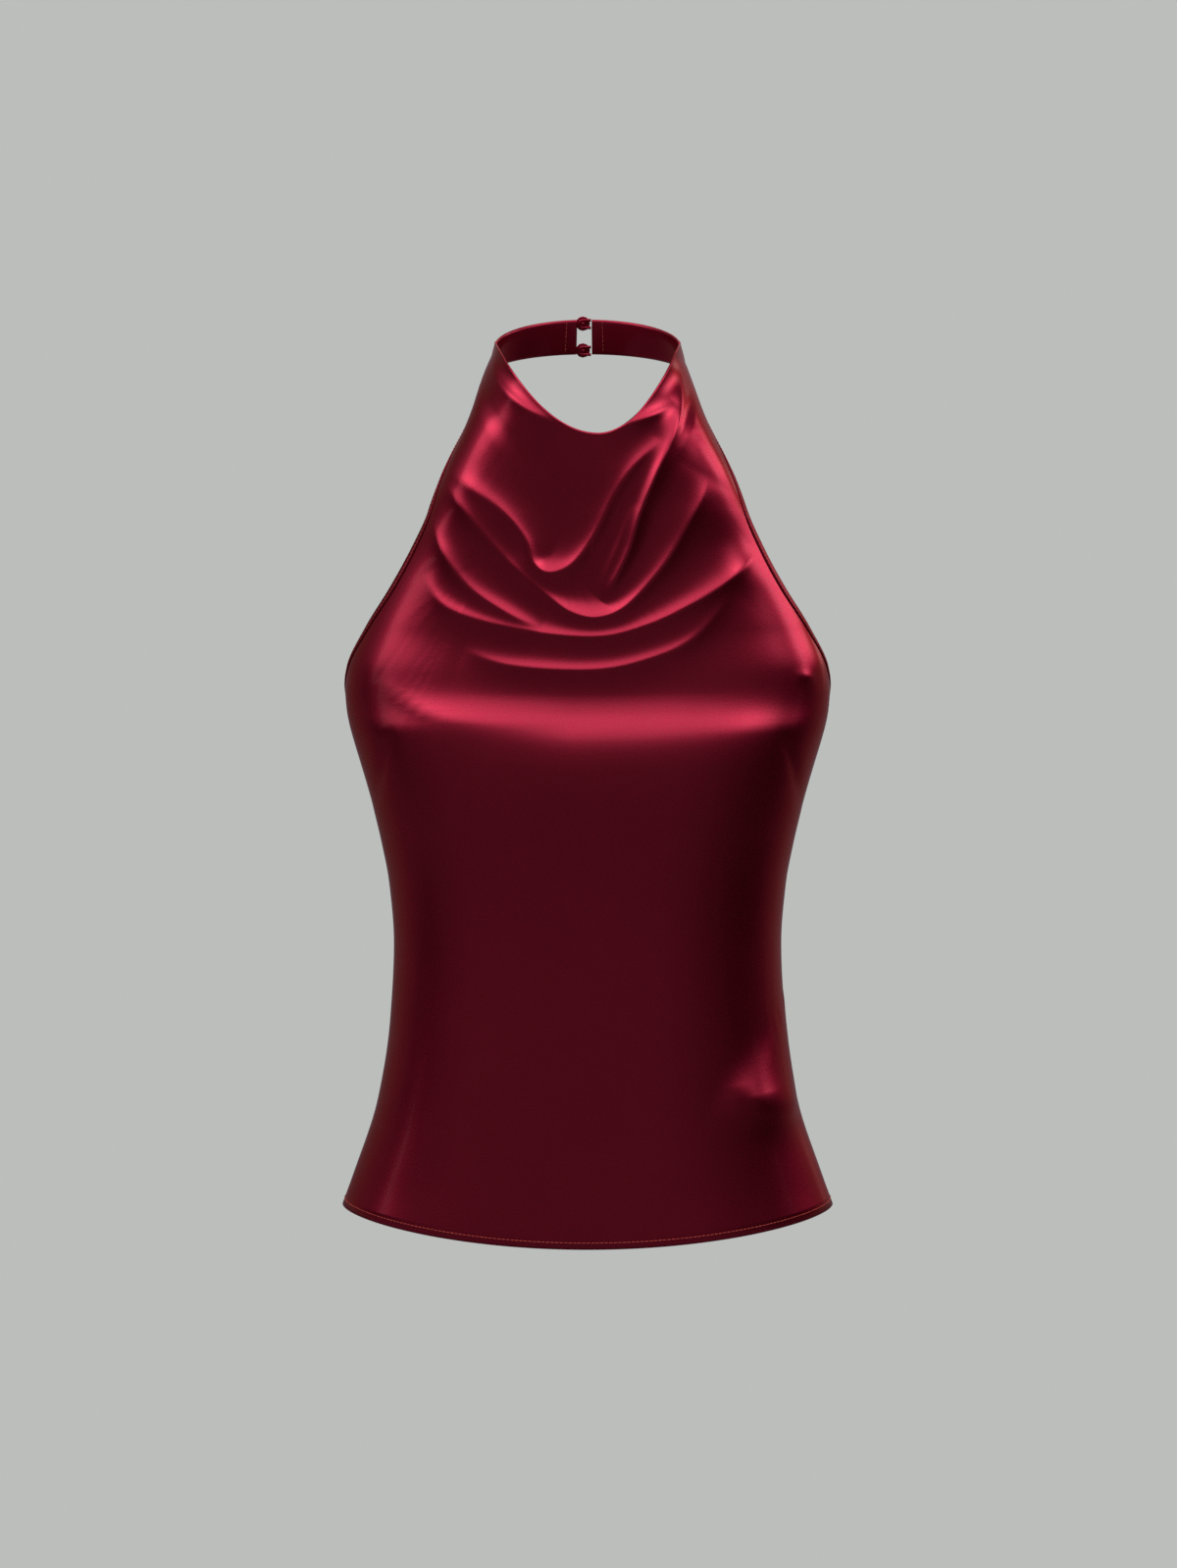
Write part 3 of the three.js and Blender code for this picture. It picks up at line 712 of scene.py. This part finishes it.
band_start = math.radians(SIDE_SEAM_DEGREES)
BAND_STATIONS = 90
for name, start, stop in (
    ("neck_band_right", band_start, band_end(BAND_ENDS[1])),
    ("neck_band_left", band_end(BAND_ENDS[0]), 2 * math.pi - band_start),
):
    angles = np.linspace(start, stop, BAND_STATIONS)
    share = np.linspace(0, 1, BAND_STEPS)
    lower = BAND_MARGIN + (1 - 2 * BAND_MARGIN) * share
    crown = BAND_WALL / 2 * (BAND_EDGE + (1 - BAND_EDGE) * np.sin(math.pi * share) ** 0.5)
    downs = np.concatenate([lower, lower[::-1]])
    levels = np.concatenate([crown, -crown[::-1]]) - BAND_WALL / 2
    grid_angle, grid_down = np.meshgrid(angles, downs, indexing="ij")
    rings = band_point(grid_angle, grid_down) + band_normal(grid_angle, grid_down) * levels[None, :, None]
    piece = bar(name + "_cloth", rings, "trim")
    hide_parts(name)
    for place, down in BAND_STITCH_ROWS.items():
        line = band_point(angles, down)
        normals = band_normal(angles, down)
        stitches(f"{name}_{place}_stitches", line, normals, BAND_STITCH)
    end_angle = start + BAND_HEM if "left" in name else stop - BAND_HEM
    line = band_point(end_angle, BAND_END_ROWS)
    normals = band_normal(end_angle, BAND_END_ROWS)
    stitches(f"{name}_end_stitches", line - normals * BAND_WALL, -normals, BAND_STITCH)

# Closure: covered buttons on the left end and cloth loops from the right end. A button's profile: radius,
# height over the band. Its puckers lie beyond a radius and below a height. A loop's twist: depth as a share
# of its radius, ridges, turn from station to station.
CLOSURES = (("upper", 17), ("lower", -0.8))
SHANK_X = -3.2
BUTTON_RADIUS = 4.8
BUTTON_PROFILE = [
    (0.6, -2),
    (1.05, -2),
    (1.05, 0.35),
    (2.4, 0.38),
    (4.2, 0.36),
    (4.65, 0.5),
    (4.8, 0.85),
    (4.8, 1.3),
    (4.6, 1.9),
    (4.1, 2.6),
    (3.3, 3.2),
    (2.3, 3.65),
    (1.2, 3.9),
    (0.3, 3.95),
]
BUTTON_SIDES = 48
PUCKERS = 12
PUCKER_DEPTH = 0.1
PUCKER_LIMITS = (3, 2)
LOOP_RADIUS = 1.05
LOOP_ARM = 2.5
LOOP_SIDES = 12
LOOP_BEND_STEPS = 25
LOOP_ARM_STEPS = 5
LOOP_TWIST = (0.05, 3, 0.9)
closure_tilt = math.atan2(BAND_LOWER[1] - BAND_UPPER[1], BAND_UPPER[3] - BAND_LOWER[3])


def button_rings():
    """A domed cloth cover with small puckers where it is gathered under the rim."""
    turns = full_turn(BUTTON_SIDES)
    rings = []
    for radius, height in BUTTON_PROFILE:
        gathered = radius > PUCKER_LIMITS[0] and height < PUCKER_LIMITS[1]
        depth = PUCKER_DEPTH * radius / BUTTON_RADIUS if gathered else 0
        r = radius + depth * np.cos(turns * PUCKERS)
        rings.append(np.stack([r * np.cos(turns), np.full_like(turns, height), r * np.sin(turns)], -1))
    return np.array(rings)


def loop_rings(reach):
    """A twisted cloth cord that comes from the right, bends round the shank and goes back."""
    turn = np.linspace(math.pi / 2, 3 * math.pi / 2, LOOP_BEND_STEPS)
    run = np.linspace(reach, 0, LOOP_ARM_STEPS, endpoint=False)
    level = np.full_like(run, LOOP_ARM)
    x = np.concatenate([run, LOOP_ARM * np.cos(turn), run[::-1]])
    z = np.concatenate([level, LOOP_ARM * np.sin(turn), -level])
    line = np.stack([x, np.zeros_like(x), z], -1)
    along = np.gradient(line, axis=0)
    along /= np.linalg.norm(along, axis=1, keepdims=True)
    side = np.cross([0, 1, 0], along)
    turns = full_turn(LOOP_SIDES)[:, None]
    depth, ridges, twist = LOOP_TWIST
    rings = []
    for k, (point, lean) in enumerate(zip(line, side)):
        radius = LOOP_RADIUS * (1 + depth * np.cos(ridges * turns + k * twist))
        rings.append(point + radius * (lean * np.cos(turns) + np.array([0, 1, 0]) * np.sin(turns)))
    return np.array(rings)


for place, z in CLOSURES:
    down = (BAND_UPPER[3] - z) / (BAND_UPPER[3] - BAND_LOWER[3])
    depth = BAND_UPPER[1] + (BAND_LOWER[1] - BAND_UPPER[1]) * down
    turn = np.array(Matrix.Rotation(closure_tilt, 3, "X"))
    centre = np.array([SHANK_X, depth, z])
    button = bar(f"button_{place}_cloth", button_rings() @ turn.T + centre, "trim")
    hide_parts(f"button_{place}")
    rings = loop_rings(BAND_ENDS[1] - SHANK_X - 2 * SEAM_GAP) + [0, -BAND_WALL / 2, 0]
    loop = bar(f"loop_{place}_cloth", rings @ turn.T + centre, "trim")
    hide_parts(f"loop_{place}")

# Camera, floor and lights
camera_data = bpy.data.cameras.new("camera")
camera_data.lens = CAMERA["lens"]
camera_data.sensor_width = 36
camera_data.clip_end = 50
camera = bpy.data.objects.new("camera", camera_data)
camera.location = (CAMERA["side"] * MM, -CAMERA["distance"] * MM, CAMERA["height"] * MM)
camera.rotation_euler = (math.radians(90 - CAMERA["tilt_degrees"]), 0, 0)
bpy.context.scene.collection.objects.link(camera)
bpy.context.scene.camera = camera

# The floor's reach to each side and its height, in metres
FLOOR = (2, -1.5)
floor_material = bpy.data.materials.new("floor")
floor_material.use_nodes = True
floor_shader = floor_material.node_tree.nodes["Principled BSDF"]
floor_shader.inputs["Base Color"].default_value = (0.82, 0.82, 0.82, 1)
floor_shader.inputs["Roughness"].default_value = 0.9
floor_mesh = bpy.data.meshes.new("floor")
reach, level = FLOOR
floor_mesh.from_pydata(
    [(-reach, -reach, level), (reach, -reach, level), (reach, reach, level), (-reach, reach, level)],
    [],
    [(0, 1, 2, 3)],
)
floor_mesh.materials.append(floor_material)
floor = bpy.data.objects.new("floor", floor_mesh)
bpy.context.scene.collection.objects.link(floor)
floor.visible_glossy = False


# Studio light: a long soft light in front and overhead, and boxes at the sides and behind. Columns of the
# long light: degrees round from the front, over the top, and brightness there. Columns of its length: the
# sideways part of a direction, and the share of the light there. Columns of a box: its direction,
# sharpness, brightness.
LONG_LIGHT = [
    (-180, 0.14),
    (-130, 0.12),
    (-40, 0.1),
    (0, 0.1),
    (12, 0.11),
    (22, 0.14),
    (32, 0.32),
    (42, 0.84),
    (52, 1.2),
    (60, 1.25),
    (67, 1.45),
    (73, 1.5),
    (80, 0.9),
    (88, 0.3),
    (100, 0.15),
    (130, 0.14),
    (180, 0.14),
]
LIGHT_LENGTH = [(-1, 0.3), (-0.92, 0.75), (-0.75, 1), (0.4, 1), (0.6, 0.8), (0.8, 0.42), (1, 0.06)]


def arc(start, end, count, elevation, sharpness, bright):
    """Boxes side by side on a level arc, in degrees round from the front towards the right."""
    lift = math.radians(elevation)
    turns = np.radians(np.linspace(start, end, count))
    axes = [(math.sin(t) * math.cos(lift), -math.cos(t) * math.cos(lift), math.sin(lift)) for t in turns]
    return [(axis, sharpness, bright) for axis in axes]


BOXES = [
    ((0.7, -0.34, 0.63), 40, 2),
    ((-0.6, -0.36, 0.71), 30, 1.1),
    ((-0.85, 0.05, 0.52), 20, 0.2),
    ((0.1, 0.8, 0.6), 14, 0.9),
    ((0.7, 0.7, 0.1), 8, 0.08),
    ((0.6, 0.78, 0.18), 200, 1),
]
BOXES += arc(start=94, end=122, count=4, elevation=21, sharpness=150, bright=1.8)
BACKDROP = (0.503, 0.515, 0.503, 1)

world = bpy.data.worlds.new("studio")
world.use_nodes = True
nodes, links = world.node_tree.nodes, world.node_tree.links
nodes.clear()
direction = nodes.new("ShaderNodeTexCoord")
parts = nodes.new("ShaderNodeSeparateXYZ")
links.new(direction.outputs["Generated"], parts.inputs["Vector"])


def world_math(operation, first, second):
    """The result of a sum node whose two inputs are numbers or other results."""
    node = nodes.new("ShaderNodeMath")
    node.operation = operation
    for socket, value in zip(node.inputs, (first, second)):
        if isinstance(value, (int, float)):
            socket.default_value = value
        else:
            links.new(value, socket)
    return node.outputs["Value"]


def world_ramp(table, value):
    """A smooth curve through a table's rows, with values up to 2."""
    low, high = table[0][0], table[-1][0]
    ramp = nodes.new("ShaderNodeValToRGB")
    ramp.color_ramp.interpolation = "EASE"
    while len(ramp.color_ramp.elements) < len(table):
        ramp.color_ramp.elements.new(0.5)
    for element, (at, bright) in zip(ramp.color_ramp.elements, table):
        element.position = (at - low) / (high - low)
        element.color = (bright / 2, bright / 2, bright / 2, 1)
    spread = nodes.new("ShaderNodeMapRange")
    spread.inputs["From Min"].default_value = low
    spread.inputs["From Max"].default_value = high
    links.new(value, spread.inputs["Value"])
    links.new(spread.outputs["Result"], ramp.inputs["Fac"])
    return world_math("MULTIPLY", ramp.outputs["Color"], 2)


over = world_math("ARCTAN2", parts.outputs["Z"], world_math("MULTIPLY", parts.outputs["Y"], -1))
long_light = world_ramp(LONG_LIGHT, world_math("MULTIPLY", over, 180 / math.pi))
total = world_math("MULTIPLY", long_light, world_ramp(LIGHT_LENGTH, parts.outputs["X"]))
for axis, sharpness, bright in BOXES:
    toward = nodes.new("ShaderNodeVectorMath")
    toward.operation = "DOT_PRODUCT"
    toward.inputs[1].default_value = Vector(axis).normalized()
    links.new(direction.outputs["Generated"], toward.inputs[0])
    lobe = world_math("POWER", world_math("MAXIMUM", toward.outputs["Value"], 0), sharpness)
    total = world_math("ADD", total, world_math("MULTIPLY", lobe, bright))
around = nodes.new("ShaderNodeBackground")
around.inputs["Color"].default_value = (1, 1, 1, 1)
links.new(total, around.inputs["Strength"])
seen = nodes.new("ShaderNodeBackground")
seen.inputs["Color"].default_value = BACKDROP
path = nodes.new("ShaderNodeLightPath")
mixer = nodes.new("ShaderNodeMixShader")
links.new(path.outputs["Is Camera Ray"], mixer.inputs["Fac"])
links.new(around.outputs["Background"], mixer.inputs[1])
links.new(seen.outputs["Background"], mixer.inputs[2])
output = nodes.new("ShaderNodeOutputWorld")
links.new(mixer.outputs["Shader"], output.inputs["Surface"])
bpy.context.scene.world = world
bpy.context.scene.view_settings.view_transform = "Standard"
